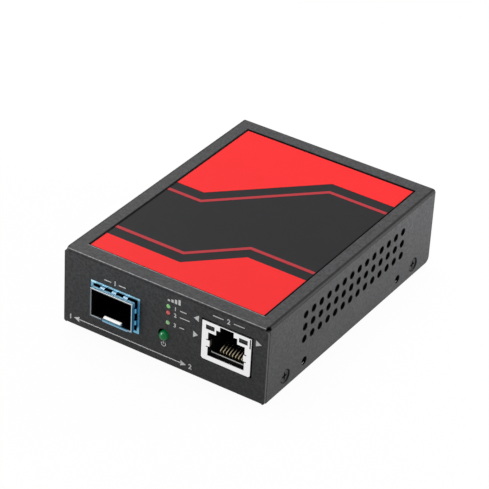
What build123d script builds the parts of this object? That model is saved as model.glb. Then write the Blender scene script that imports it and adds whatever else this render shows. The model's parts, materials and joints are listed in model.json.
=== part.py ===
from build123d import *
import os
from math import cos, radians, sin, tan

# A small metal box that turns twisted-pair network copper into fibre: one module slot and one
# eight-way socket at the front, power and setting levers at the back, one circuit board inside.
# Millimetres. X is across the front, Y runs from front to back, Z is up, feet stand on Z = 0.

# Case, two folded steel sheets
case_width = 70.0
case_depth = 94.0
case_height = 26.0
sheet = 0.8
bend_radius = 1.0
tray_bend_radius = 0.7
tray_inner_radius = 0.2
seam_gap = 0.15
panel_corner_cut = 1.5
ear_corner_radius = 0.7
relief_radius = 0.8
skirt_rear_radius = 2.0
edge_round = 0.3
skirt_lift = 0.1
ear_lift = 0.2

# Recess in the roof and the label in it
recess_front_border = 5.25
recess_rear_border = 4.6
recess_side_border = 4.6
recess_depth = 0.5
recess_corner_radius = 0.3
recess_rim = 0.2
label_gap = 0.35
label_thickness = 0.2
print_thickness = 0.05

# Colour fields printed on the label
rear_field_start = 44.0
rear_field_turn = 10.0
rear_field_jog = 28.0
front_field_start = 8.0
front_field_turn = 26.0
front_field_jog = 14.0
stripe_width = 1.3
stripe_offset = 4.0

# Vent holes in both flanks
vent_radius = 1.2
vent_pitch = 4.21
vent_columns = 14
vent_rows = 3
vent_front_inset = 20.1
vent_top_inset = 5.65

# Cover screws, one pair on each flank
screw_front_inset = 10.8
screw_rear_inset = 10.4
screw_rise = 4.1
screw_head_radius = 1.95
screw_shank_radius = 1.2
screw_length = 4.0
screw_sink = 0.3
screw_slot_width = 0.6
screw_slot_reach = 1.2
screw_slot_depth = 0.5
thread_clearance = 0.05
sink_clearance = 0.3
sink_rim = 0.45

# Tapped holes for a wall or rail bracket
bracket_front_inset = 20.9
bracket_spacing = 53.1
bracket_rise = 3.9
bracket_hole_radius = 1.25
bracket_collar_radius = 2.0
bracket_collar_length = 1.3

# Lugs of the tray that take the cover screws
lug_width = 7.0
lug_height = 7.2
lug_root = 2.4
lug_relief = 0.8

# Stick-on feet
foot_height = 1.6
foot_radius = 4.0
foot_inset = 9.0
foot_chamfer = 0.4

# Circuit board
board_lift = 6.2
board_thickness = 1.6
board_edge_gap = 1.05
board_end_gap = 0.6
board_hole_inset = 3.5
board_front_hole = 27.0
board_rear_hole = 17.0
board_hole_radius = 1.65

# Standoffs and board screws
standoff_across = 5.5
standoff_bore_radius = 1.25
standoff_shank_radius = 2.1
board_screw_shank_radius = 1.2
board_screw_head_radius = 2.75
board_screw_head_height = 1.8
board_screw_length = 4.0
board_screw_socket_width = 0.7

# Insulating film on the floor
film_thickness = 0.25
film_border = 4.0
film_hole_clearance = 1.0

# Module slot: cage, spring collar, frame, connector
slot_side_inset = 18.3
cage_inner_width = 14.0
cage_inner_height = 8.9
cage_wall = 0.3
cage_length = 48.8
cage_proud = 2.3
cage_floor_opening = 12.8
tongue_width = 6.0
tongue_length = 9.0
tongue_ramp = 1.1
tongue_rise = 0.45
tongue_slit = 0.35
collar_wall = 0.15
collar_length = 1.25
finger_width = 1.5
finger_crest = 0.42
finger_neck = 0.1
finger_tail = 1.3
finger_pitch = 4.05
lip_width = 8.9
lip_height = 0.4
lip_shift = 1.55
frame_band = 0.8
frame_wall = 0.2
cutout_clearance = 0.5
connector_width = 9.4
connector_height = 5.6
connector_depth = 8.0
connector_slot_width = 8.2
connector_slot_height = 1.5
connector_slot_depth = 5.0
connector_pins = 10
connector_pin_pitch = 0.8
connector_pin_width = 0.35
connector_pin_wall = 0.2
connector_pin_lap = 0.7
connector_lead = 2.2
connector_drop = 1.9

# Eight-way socket
jack_side_inset = 13.35
jack_width = 16.5
jack_height = 13.0
jack_length = 21.6
jack_proud = 0.3
jack_foil = 0.25
jack_cutout_clearance = 0.42
jack_corner_cut = 0.5
mouth_width = 12.3
mouth_bottom = 1.6
mouth_top = 9.45
step_width = 7.1
step_top = 11.2
latch_width = 4.6
window_width = 2.9
window_height = 1.5
window_rise = 10.4
window_offset = 5.55
window_margin = 0.22
lens_clearance = 0.05
lens_depth = 4.0
lens_setback = 0.25
side_tab_bottom = 4.5
side_tab_top = 6.9
side_tab_bulge = 0.55
side_tab_reach = 3.2
side_slit = 0.34
side_slit_reach = 0.6
edge_slit_width = 0.4
edge_slit_offset = 7.85
edge_slit_bottom = 9.6
insert_setback = 2.0
insert_inset = 0.05
insert_step = 0.15
insert_roof = 0.2
socket_depth = 14.0
contact_count = 8
contact_pitch = 1.02
contact_size = 0.3
contact_start = 3.0
contact_reach = 3.9
contact_slope = 18.0
contact_tip = 0.75

# Small lamps in the front panel
lamp_offset = 1.5
lamp_rises = (20.1, 17.9, 14.5)
lamp_radius = 0.72
lamp_hole_radius = 0.8
lamp_proud = 0.1
lamp_length = 4.0
holder_width = 3.6
holder_depth = 5.0
holder_gap = 0.4
holder_foot_depth = 2.4
holder_overlap = 1.2

# Power lamp
power_offset = 0.5
power_rise = 9.75
power_radius = 1.5
power_hole_radius = 1.85
power_hole_shift = 0.25
power_flange_radius = 1.85
power_flange_length = 1.0
power_body_length = 3.8
lead_size = 0.5
lead_pitch = 2.54
lead_reach = 1.5

# Main chip, thermal pad and heatsink, in the room that the slot, transformer and rear parts leave
sink_slot_gap = 4.4
sink_flank_gap = 13.0
sink_front_gap = 1.6
sink_rear_room = 36.5
sink_base = 2.5
sink_height = 12.0
sink_fins = 8
sink_fin_thickness = 1.1
sink_overhang = 4.0
main_chip_height = 1.8
pad_thickness = 0.5
pad_border = 1.0

# Other parts on the board, each placed from the wall or part that it keeps to
second_chip_size = 10.0
second_chip_height = 1.2
second_chip_shift = 2.2
second_chip_gap = 1.5
transformer_size = (13.0, 6.4, 5.6)
transformer_shift = 5.35
transformer_gap = 1.2
choke_size = 8.0
choke_height = 4.6
choke_pitch = 9.5
choke_chamfer = 1.2
choke_x = 1.0
choke_from_rear = 18.0
capacitor_radius = 3.15
capacitor_height = 10.5
capacitor_pitch = 7.5
capacitor_groove = 0.4
capacitor_flank_inset = 7.0
capacitor_from_front = 50.0
small_chip_flank_inset = 8.0
clock_size = (5.0, 3.2, 1.2)
clock_from_front = 36.0
memory_size = (5.2, 6.0, 1.6)
memory_from_front = 46.0
regulator_size = (5.0, 5.0, 1.0)
regulator_pitch = 8.0
regulator_flank_inset = 13.0
regulator_from_rear = 26.0
small_part_size = (1.6, 0.8, 0.8)
small_part_columns = 3
small_part_rows = 6
small_part_pitch = (2.6, 2.0)
small_part_from_front = 18.5
part_chamfer = 0.25
part_gap = 0.02

# Power inlet at the back
inlet_flank_inset = 15.0
inlet_width = 9.0
inlet_height = 11.0
inlet_depth = 14.0
inlet_rise = 6.2
inlet_nose_radius = 4.0
inlet_socket_radius = 3.15
inlet_socket_depth = 9.5
inlet_pin_radius = 1.05
inlet_pin_clearance = 0.5
inlet_hole_clearance = 0.25
inlet_seat_gap = 0.1
inlet_tab_width = 2.6
inlet_tab_wall = 0.4
inlet_tab_height = 5.0

# Setting switch at the back
dip_flank_inset = 21.0
dip_ways = 4
dip_pitch = 2.54
dip_end_wall = 1.4
dip_height = 6.4
dip_depth = 5.5
dip_rise = 3.4
dip_seat_gap = 0.2
lever_width = 1.3
lever_height = 1.4
lever_travel = 1.2
lever_clearance = 0.1
lever_hold = 1.8
lever_proud = 0.9
lever_face_wall = 0.9
shoe_lip = 0.3
dip_window_margin = 0.6

# Levels and end planes that follow from the sizes above
case_bottom = foot_height
case_top = case_bottom + case_height
floor_top = case_bottom + sheet
roof_under = case_top - sheet
front_y = -(case_depth - cage_proud) / 2
rear_y = front_y + case_depth
panel_width = case_width - 2 * (sheet + seam_gap)
panel_top = roof_under - seam_gap
inner_front = front_y + sheet
inner_rear = rear_y - sheet
board_bottom = case_bottom + board_lift
board_top = board_bottom + board_thickness
board_width = panel_width - 2 * (sheet + board_edge_gap)
board_front = inner_front + board_end_gap
board_rear = inner_rear - board_end_gap
slot_x = -case_width / 2 + slot_side_inset
jack_x = case_width / 2 - jack_side_inset
screw_z = case_bottom + screw_rise
screw_ys = (front_y + screw_front_inset, rear_y - screw_rear_inset)
bracket_z = case_bottom + bracket_rise
bracket_ys = (front_y + bracket_front_inset, front_y + bracket_front_inset + bracket_spacing)
hole_spots = [
    (side * (board_width / 2 - board_hole_inset), y)
    for side in (-1, 1)
    for y in (front_y + board_front_hole, rear_y - board_rear_hole)
]
inlet_x = -case_width / 2 + inlet_flank_inset
dip_x = case_width / 2 - dip_flank_inset

# Planes that look straight at the front and at the back, both with Z up
front_plane = Plane(origin=(0, front_y, 0), x_dir=(1, 0, 0), z_dir=(0, -1, 0))
rear_plane = Plane(origin=(0, rear_y, 0), x_dir=(-1, 0, 0), z_dir=(0, 1, 0))

BASE = (Align.CENTER, Align.CENTER, Align.MIN)
HANGING = (Align.CENTER, Align.CENTER, Align.MAX)
STANDING = (Align.CENTER, Align.MIN)


def save(builder, name):
    """Label a finished piece and write it to its own file."""
    builder.part.label = name
    export_step(builder.part, f"parts/{name}.step")


def flank_plane(side, y, z):
    """A plane on the outside of the left (-1) or right (1) flank, facing out."""
    return Plane(origin=(side * case_width / 2, y, z), x_dir=(0, side, 0), z_dir=(side, 0, 0))


os.makedirs("parts", exist_ok=True)

# Module slot sizes shared by the tray, cage, collar and frame
cage_width = cage_inner_width + 2 * cage_wall
cage_height = cage_inner_height + 2 * cage_wall
cage_front = front_y - cage_proud
cage_z = board_top + cage_height / 2
slot_cut_width = cage_width + 2 * cutout_clearance
slot_cut_height = cage_height + 2 * cutout_clearance

# Socket sizes shared by the tray, shield, insert and lenses
jack_front = front_y - jack_proud
jack_plane = Plane(origin=(jack_x, jack_front, board_top), x_dir=(1, 0, 0), z_dir=(0, -1, 0))

# Lamp places
lamp_zs = [case_bottom + rise for rise in lamp_rises]
power_z = case_bottom + power_rise

# Inlet and switch places
inlet_z = board_top + inlet_rise
dip_z = board_top + dip_rise
dip_width = dip_ways * dip_pitch + dip_end_wall
dip_face = inner_rear - dip_seat_gap
lever_slot_height = lever_height + lever_travel + 2 * lever_clearance
lever_slot_width = lever_width + 2 * lever_clearance
dip_window_width = (dip_ways - 1) * dip_pitch + lever_slot_width + 2 * dip_window_margin
dip_window_height = lever_slot_height + 2 * dip_window_margin


# Base tray: floor, front panel and back panel folded from one sheet
with BuildPart() as base_tray:
    with BuildSketch(Plane.YZ) as tray_section:
        with BuildLine():
            Polyline(
                (front_y, panel_top),
                (front_y, case_bottom),
                (rear_y, case_bottom),
                (rear_y, panel_top),
                (inner_rear, panel_top),
                (inner_rear, floor_top),
                (inner_front, floor_top),
                (inner_front, panel_top),
                close=True,
            )
        make_face()
        fillet(tray_section.vertices().group_by(Axis.Y)[1], tray_inner_radius)
        fillet(tray_section.vertices().group_by(Axis.Y)[0], tray_bend_radius)
    extrude(amount=panel_width / 2, both=True)
    panel_tops = base_tray.edges().filter_by(Axis.Y).group_by(Axis.Z)[-1]
    chamfer(panel_tops.group_by(Axis.Y)[-1], panel_corner_cut)

    # Ears widen the front panel to the full width, past both ends of its bend
    with BuildSketch(front_plane) as ear_plan:
        with Locations((0, case_bottom + ear_lift)):
            Rectangle(case_width, panel_top - case_bottom - ear_lift, align=STANDING)
        fillet(ear_plan.vertices(), ear_corner_radius)
        with Locations((0, case_bottom)):
            Rectangle(panel_width, tray_bend_radius, align=STANDING, mode=Mode.SUBTRACT)
    extrude(amount=-sheet)

    # Notches in the floor's long edges leave room to fold the lugs up
    with BuildSketch(Plane.XY.offset(case_bottom)):
        for side in (-1, 1):
            with Locations(*[(side * (panel_width / 2 - lug_root / 2), y) for y in screw_ys]):
                Rectangle(lug_root, lug_width + 2 * lug_relief)
    extrude(amount=sheet, mode=Mode.SUBTRACT)

    # Lugs, folded up inside the cover's skirt
    for y in screw_ys:
        with BuildSketch(Plane.XZ.offset(-y)) as lug_section:
            with BuildLine():
                Polyline(
                    (panel_width / 2 - lug_root, case_bottom),
                    (panel_width / 2, case_bottom),
                    (panel_width / 2, case_bottom + lug_height),
                    (panel_width / 2 - sheet, case_bottom + lug_height),
                    (panel_width / 2 - sheet, floor_top),
                    (panel_width / 2 - lug_root, floor_top),
                    close=True,
                )
            make_face()
            fillet(lug_section.vertices().group_by(Axis.Y)[0].sort_by(Axis.X)[-1], bend_radius)
            mirror(about=Plane.YZ)
        extrude(amount=lug_width / 2, both=True)
    with BuildSketch(Plane.YZ):
        with Locations(*[(y, screw_z) for y in screw_ys]):
            Circle(screw_shank_radius + thread_clearance)
    extrude(amount=panel_width, both=True, mode=Mode.SUBTRACT)

    # Seats of the pressed-in standoffs
    with BuildSketch(Plane.XY.offset(case_bottom)):
        with Locations(*hole_spots):
            Circle(standoff_shank_radius + thread_clearance)
    extrude(amount=sheet, mode=Mode.SUBTRACT)

    # Front openings: module slot, socket and lamps
    with BuildSketch(front_plane):
        with Locations((slot_x, cage_z)):
            Rectangle(slot_cut_width, slot_cut_height)
        with Locations((jack_x, board_top + jack_height / 2)):
            Rectangle(jack_width + 2 * jack_cutout_clearance, jack_height + 2 * jack_cutout_clearance)
        with Locations(*[(lamp_offset, z) for z in lamp_zs]):
            Circle(lamp_hole_radius)
        with Locations((power_offset - power_hole_shift, power_z + power_hole_shift)):
            Circle(power_hole_radius)
    extrude(amount=-sheet, mode=Mode.SUBTRACT)

    # Back openings: power inlet and setting switch
    with BuildSketch(rear_plane):
        with Locations((-inlet_x, inlet_z)):
            Circle(inlet_nose_radius + inlet_hole_clearance)
        with Locations((-dip_x, dip_z)):
            RectangleRounded(dip_window_width, dip_window_height, dip_window_margin)
    extrude(amount=-sheet, mode=Mode.SUBTRACT)
save(base_tray, "base_tray")


# Recess and label sizes
recess_width = case_width - 2 * recess_side_border
recess_length = case_depth - recess_front_border - recess_rear_border
recess_y = front_y + recess_front_border + recess_length / 2
recess_floor = case_top - recess_depth
label_width = recess_width - 2 * label_gap
label_length = recess_length - 2 * label_gap

# Top cover: roof and both flanks folded from one sheet, its end edges eased
with BuildPart() as top_cover:
    skirt_height = case_height - skirt_lift
    with BuildSketch(front_plane) as cover_section:
        with Locations((0, case_top)):
            Rectangle(case_width, skirt_height, align=(Align.CENTER, Align.MAX))
        fillet(cover_section.vertices().group_by(Axis.Y)[-1], bend_radius)
    extrude(amount=-case_depth)
    fillet(top_cover.edges().filter_by(Axis.X).group_by(Axis.Z)[0].sort_by(Axis.Y)[-1], skirt_rear_radius)
    end_faces = top_cover.faces().filter_by(Axis.Y)
    fillet(end_faces.edges() - end_faces.edges().group_by(Axis.Z)[0], edge_round)
    with BuildSketch(front_plane) as cover_hollow:
        with Locations((0, roof_under)):
            Rectangle(case_width - 2 * sheet, case_height, align=(Align.CENTER, Align.MAX))
        fillet(cover_hollow.vertices().group_by(Axis.Y)[-1], bend_radius - sheet)
    extrude(amount=-case_depth, mode=Mode.SUBTRACT)

    # The flanks start behind the panel's ears, while the roof runs on over the panel
    with BuildSketch(Plane.XY.offset(case_bottom)):
        with Locations((-case_width / 2, front_y), (case_width / 2, front_y)):
            Rectangle(2 * bend_radius, 2 * (sheet + seam_gap))
    extrude(amount=case_height, mode=Mode.SUBTRACT)
    flank_edges = top_cover.edges().filter_by(Axis.Z).group_by(Axis.X)
    fillet([flank_edges[0].sort_by(Axis.Y)[0], flank_edges[-1].sort_by(Axis.Y)[0]], edge_round)

    # A round relief opens the end of each bend, where roof and flank part
    for side in (-1, 1):
        bend_end = (side * (case_width / 2 - bend_radius), front_y + sheet + seam_gap, case_top - bend_radius)
        with Locations(Plane(origin=bend_end, x_dir=(0, 1, 0), z_dir=(side, 0, 1))):
            Cylinder(relief_radius, 2 * bend_radius, align=BASE, mode=Mode.SUBTRACT)

    # The label's recess is pressed into the roof, so the sheet bulges down below it
    with BuildSketch(Plane.XY.offset(roof_under - recess_depth)):
        with Locations((0, recess_y)):
            RectangleRounded(
                recess_width + 2 * sheet,
                recess_length + 2 * sheet,
                recess_corner_radius + sheet,
            )
    extrude(amount=recess_depth)
    with BuildSketch(Plane.XY.offset(recess_floor)):
        with Locations((0, recess_y)):
            RectangleRounded(recess_width, recess_length, recess_corner_radius)
    extrude(amount=recess_depth, mode=Mode.SUBTRACT)
    chamfer(top_cover.faces().sort_by(Axis.Z)[-1].inner_wires()[0].edges(), recess_rim)

    # Vent holes, the same grid through both flanks
    vent_span = (vent_columns - 1) * vent_pitch
    vent_drop = (vent_rows - 1) * vent_pitch
    with BuildSketch(Plane.YZ):
        vent_y = front_y + vent_front_inset + vent_span / 2
        with Locations((vent_y, case_top - vent_top_inset - vent_drop / 2)):
            with GridLocations(vent_pitch, vent_pitch, vent_columns, vent_rows):
                Circle(vent_radius)
    extrude(amount=case_width, both=True, mode=Mode.SUBTRACT)

    # Pulled collars with a thread for a bracket
    for side in (-1, 1):
        for y in bracket_ys:
            with Locations(flank_plane(side, y, bracket_z)):
                Cylinder(bracket_collar_radius, sheet + bracket_collar_length, align=HANGING)
                Hole(bracket_hole_radius)

    # Countersunk holes of the cover screws
    for side in (-1, 1):
        for y in screw_ys:
            with Locations(flank_plane(side, y, screw_z)):
                CounterSinkHole(
                    screw_shank_radius + sink_clearance,
                    screw_head_radius + sink_rim,
                    depth=sheet,
                )
save(top_cover, "top_cover")


# Cover screws: flat heads with a cross recess
with BuildPart() as cover_screws:
    head_height = sheet + seam_gap - screw_sink - thread_clearance
    slot_sides = (screw_slot_width, 2 * screw_slot_reach)
    for side in (-1, 1):
        for y in screw_ys:
            with Locations(flank_plane(side, y, screw_z).offset(-screw_sink)):
                Cone(screw_shank_radius, screw_head_radius, head_height, align=HANGING)
                Cylinder(screw_shank_radius, screw_length, align=HANGING)
            with Locations(flank_plane(side, y, screw_z).offset(-screw_sink)):
                for across, along in (slot_sides, reversed(slot_sides)):
                    Box(across, along, screw_slot_depth, align=HANGING, mode=Mode.SUBTRACT)
save(cover_screws, "cover_screws")


# Rubber feet, stuck under the corners of the floor
with BuildPart() as rubber_feet:
    with BuildSketch():
        with GridLocations(case_width - 2 * foot_inset, case_depth - 2 * foot_inset, 2, 2):
            with Locations((0, (front_y + rear_y) / 2)):
                Circle(foot_radius)
    extrude(amount=foot_height)
    chamfer(rubber_feet.edges().group_by(Axis.Z)[0], foot_chamfer)
save(rubber_feet, "rubber_feet")


# Label: a plastic film in the recess of the roof
with BuildPart() as label_film:
    with BuildSketch(Plane.XY.offset(recess_floor)):
        with Locations((0, recess_y)):
            RectangleRounded(label_width, label_length, recess_corner_radius)
    extrude(amount=label_thickness)
save(label_film, "label_film")


# Printed colour fields: a back field and a front field with one slanted step each, and a stripe
# along each of them
label_left = -label_width / 2
label_right = label_width / 2
label_front = recess_y - label_length / 2
label_back = recess_y + label_length / 2


def stepped(start, left, jog, shift):
    """Points of an edge that runs level, climbs at 45 degrees by jog, and runs level again."""
    low = label_front + start + shift
    first = left - shift * tan(radians(45 / 2))
    return [(label_left, low), (first, low), (first + jog, low + jog), (label_right, low + jog)]


def field(line, edge_y):
    """The outline between a stepped edge and the label's front or back edge."""
    return Polyline(*line, (label_right, edge_y), (label_left, edge_y), close=True)


def stripe(line, other_line):
    """The outline of the strip between two stepped edges."""
    return Polyline(*line, *reversed(other_line), close=True)


rear_turn = (rear_field_start, label_left + rear_field_turn, rear_field_jog)
front_turn = (front_field_start, label_left + front_field_turn, front_field_jog)
stripe_far = stripe_offset + stripe_width
with BuildPart() as label_print:
    with BuildSketch(Plane.XY.offset(recess_floor + label_thickness)) as print_plan:
        with BuildLine():
            field(stepped(*rear_turn, 0), label_back)
        make_face()
        with BuildLine():
            field(stepped(*front_turn, 0), label_front)
        make_face()
        fillet(print_plan.vertices().group_by(Axis.Y)[0], recess_corner_radius)
        fillet(print_plan.vertices().group_by(Axis.Y)[-1], recess_corner_radius)
        with BuildLine():
            stripe(stepped(*rear_turn, -stripe_offset), stepped(*rear_turn, -stripe_far))
        make_face()
        with BuildLine():
            stripe(stepped(*front_turn, stripe_offset), stepped(*front_turn, stripe_far))
        make_face()
    extrude(amount=print_thickness)
save(label_print, "label_print")


# Circuit board
with BuildPart() as main_board:
    with BuildSketch(Plane.XY.offset(board_bottom)):
        with Locations((0, (board_front + board_rear) / 2)):
            Rectangle(board_width, board_rear - board_front)
        with Locations(*hole_spots):
            Circle(board_hole_radius, mode=Mode.SUBTRACT)
    extrude(amount=board_thickness)
save(main_board, "main_board")


# Standoffs: hexagon posts pressed into the floor
with BuildPart() as standoffs:
    with BuildSketch(Plane.XY.offset(floor_top)):
        with Locations(*hole_spots):
            RegularPolygon(standoff_across / 2, 6, major_radius=False)
    extrude(amount=board_bottom - floor_top)
    with BuildSketch(Plane.XY.offset(case_bottom)):
        with Locations(*hole_spots):
            Circle(standoff_shank_radius)
    extrude(amount=sheet)
    with BuildSketch(Plane.XY.offset(case_bottom)):
        with Locations(*hole_spots):
            Circle(standoff_bore_radius)
    extrude(amount=board_bottom - case_bottom, mode=Mode.SUBTRACT)
save(standoffs, "standoffs")


# Board screws: pan heads on the board, shanks in the standoffs
with BuildPart() as board_screws:
    with BuildSketch(Plane.XY.offset(board_top)):
        with Locations(*hole_spots):
            Circle(board_screw_head_radius)
    extrude(amount=board_screw_head_height)
    fillet(board_screws.edges().group_by(Axis.Z)[-1], board_screw_head_height / 2)
    with BuildSketch(Plane.XY.offset(board_top)):
        with Locations(*hole_spots):
            Circle(board_screw_shank_radius)
    extrude(amount=-board_screw_length)
    with BuildSketch(Plane.XY.offset(board_top + board_screw_head_height)):
        with Locations(*hole_spots):
            Rectangle(board_screw_socket_width, board_screw_head_radius)
            Rectangle(board_screw_head_radius, board_screw_socket_width)
    extrude(amount=-board_screw_head_height / 2, mode=Mode.SUBTRACT)
save(board_screws, "board_screws")


# Insulating film between the floor and the board
with BuildPart() as insulating_film:
    with BuildSketch(Plane.XY.offset(floor_top)):
        with Locations((0, (inner_front + inner_rear) / 2)):
            Rectangle(board_width - 2 * film_border, inner_rear - inner_front - 2 * film_border)
        with Locations(*hole_spots):
            Circle(standoff_across / 2 + film_hole_clearance, mode=Mode.SUBTRACT)
    extrude(amount=film_thickness)
save(insulating_film, "insulating_film")


# Module cage: a thin folded box, open at the front, with a latch tongue in its floor
cage_plane = Plane(origin=(slot_x, cage_front, cage_z), x_dir=(1, 0, 0), z_dir=(0, -1, 0))
cage_floor = board_top + cage_wall
with BuildPart() as sfp_cage:
    with BuildSketch(cage_plane):
        Rectangle(cage_width, cage_height)
    extrude(amount=-cage_length)
    with BuildSketch(cage_plane):
        Rectangle(cage_inner_width, cage_inner_height)
    extrude(amount=-(cage_length - cage_wall), mode=Mode.SUBTRACT)
    with BuildSketch(Plane.XY.offset(board_top)):
        with Locations((slot_x, cage_front + cage_length - cage_floor_opening)):
            Rectangle(
                cage_inner_width,
                cage_floor_opening - cage_wall,
                align=(Align.CENTER, Align.MIN),
            )
        with Locations((slot_x, cage_front)):
            Rectangle(
                tongue_width + 2 * tongue_slit,
                tongue_length,
                align=(Align.CENTER, Align.MIN),
            )
    extrude(amount=cage_wall, mode=Mode.SUBTRACT)
    with BuildSketch(Plane.YZ.offset(slot_x)):
        with BuildLine():
            Polyline(
                (cage_front + tongue_length, board_top),
                (cage_front + tongue_length, cage_floor),
                (cage_front + tongue_ramp, cage_floor + tongue_rise),
                (cage_front, cage_floor),
                (cage_front, board_top),
                (cage_front + tongue_ramp, board_top + tongue_rise),
                close=True,
            )
        make_face()
    extrude(amount=tongue_width / 2, both=True)
save(sfp_cage, "sfp_cage")


# Spring collar: a band round the mouth of the cage with arched contact fingers behind it
band_width = cage_width + 2 * collar_wall
band_height = cage_height + 2 * collar_wall


def finger_on(plane, offsets):
    """Arched spring fingers on one face of the cage, in a plane that looks along that face."""
    with BuildSketch(plane, mode=Mode.PRIVATE) as arch:
        with BuildLine():
            ThreePointArc((0, 0), (finger_reach / 2, finger_crest), (finger_reach, finger_neck))
            Line((finger_reach, finger_neck), (finger_reach + finger_tail, 0))
            Line((finger_reach + finger_tail, 0), (finger_reach + finger_tail, collar_wall))
            Line((finger_reach + finger_tail, collar_wall), (finger_reach, finger_neck + collar_wall))
            ThreePointArc(
                (finger_reach, finger_neck + collar_wall),
                (finger_reach / 2, finger_crest + collar_wall),
                (0, collar_wall),
            )
            Line((0, collar_wall), (0, 0))
        make_face()
    for distance in offsets:
        shifted = arch.sketch.moved(Location(plane.z_dir * distance))
        extrude(shifted, amount=finger_width / 2, both=True)


finger_reach = cage_proud - collar_length - frame_wall
finger_root = cage_front + collar_length
with BuildPart() as sfp_springs:
    with BuildSketch(cage_plane):
        Rectangle(band_width, band_height)
        Rectangle(cage_width, cage_height, mode=Mode.SUBTRACT)
    extrude(amount=-collar_length)
    roof_fingers = Plane(
        origin=(slot_x, finger_root, cage_z + cage_height / 2), x_dir=(0, 1, 0), z_dir=(1, 0, 0)
    )
    flank_fingers = Plane(
        origin=(slot_x + cage_width / 2, finger_root, cage_z), x_dir=(0, 1, 0), z_dir=(0, 0, -1)
    )
    finger_on(roof_fingers, (-finger_pitch, 0, finger_pitch))
    finger_on(flank_fingers, (-finger_pitch / 2, finger_pitch / 2))

    # A lip below the cage's floor, towards the middle of the panel
    with BuildSketch(cage_plane):
        with Locations((lip_shift, -cage_height / 2)):
            Rectangle(lip_width, lip_height, align=(Align.CENTER, Align.MAX))
    extrude(amount=-collar_length)
save(sfp_springs, "sfp_springs")


# Frame of the slot: a thin bright ring on the front panel
with BuildPart() as slot_frame:
    with BuildSketch(front_plane):
        with Locations((slot_x, cage_z)):
            Rectangle(slot_cut_width + 2 * frame_band, slot_cut_height + 2 * frame_band)
            Rectangle(slot_cut_width, slot_cut_height, mode=Mode.SUBTRACT)
    extrude(amount=frame_wall)
save(slot_frame, "slot_frame")


# Module connector at the back of the cage, a body with a slot for the module's edge
connector_front = cage_front + cage_length - cage_floor_opening + connector_lead
connector_rear = connector_front + connector_depth
connector_mid = board_top + cage_wall + cage_inner_height / 2 - connector_drop
with BuildPart() as sfp_contacts:
    for row in (1, -1):
        row_z = connector_mid + row * connector_slot_height / 2
        near = connector_front + part_chamfer if row > 0 else connector_rear - connector_pin_lap
        far = connector_rear + connector_pin_lap if row > 0 else connector_front - connector_pin_lap
        for index in range(connector_pins):
            pin_x = slot_x + (index - (connector_pins - 1) / 2) * connector_pin_pitch
            with BuildSketch(Plane.YZ.offset(pin_x)):
                with BuildLine():
                    Polyline(
                        (near, row_z),
                        (far, row_z),
                        (far, board_top + connector_pin_wall / 2),
                        (far + row * connector_pin_lap, board_top + connector_pin_wall / 2),
                    )
                trace(line_width=connector_pin_wall)
            extrude(amount=connector_pin_width / 2, both=True)
save(sfp_contacts, "sfp_contacts")

with BuildPart() as sfp_connector:
    with BuildSketch(Plane.XY.offset(board_top)):
        with Locations((slot_x, (connector_front + connector_rear) / 2)):
            Rectangle(connector_width, connector_depth)
    extrude(amount=connector_height)
    with BuildSketch(Plane.XZ.offset(-connector_front)):
        with Locations((slot_x, connector_mid)):
            Rectangle(connector_slot_width, connector_slot_height)
    extrude(amount=-connector_slot_depth, mode=Mode.SUBTRACT)
    add(sfp_contacts.part, mode=Mode.SUBTRACT)
save(sfp_connector, "sfp_connector")


# Outline of the plug opening in the jack's front plane, grown or shrunk by a margin
def mouth_outline(margin, top):
    """The stepped plug opening, its sides moved out by margin and its top at the given height."""
    half_mouth = mouth_width / 2 + margin
    half_step = step_width / 2 + margin
    half_latch = latch_width / 2 + margin
    right = [
        (half_mouth, mouth_bottom - margin),
        (half_mouth, mouth_top + margin),
        (half_step, mouth_top + margin),
        (half_step, step_top + margin),
        (half_latch, step_top + margin),
        (half_latch, top),
    ]
    return right + [(-x, z) for x, z in reversed(right)]


window_spots = [(side * window_offset, window_rise + window_height / 2) for side in (-1, 1)]
lens_pocket_width = window_width - 2 * window_margin
lens_pocket_height = window_height - 2 * window_margin

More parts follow.
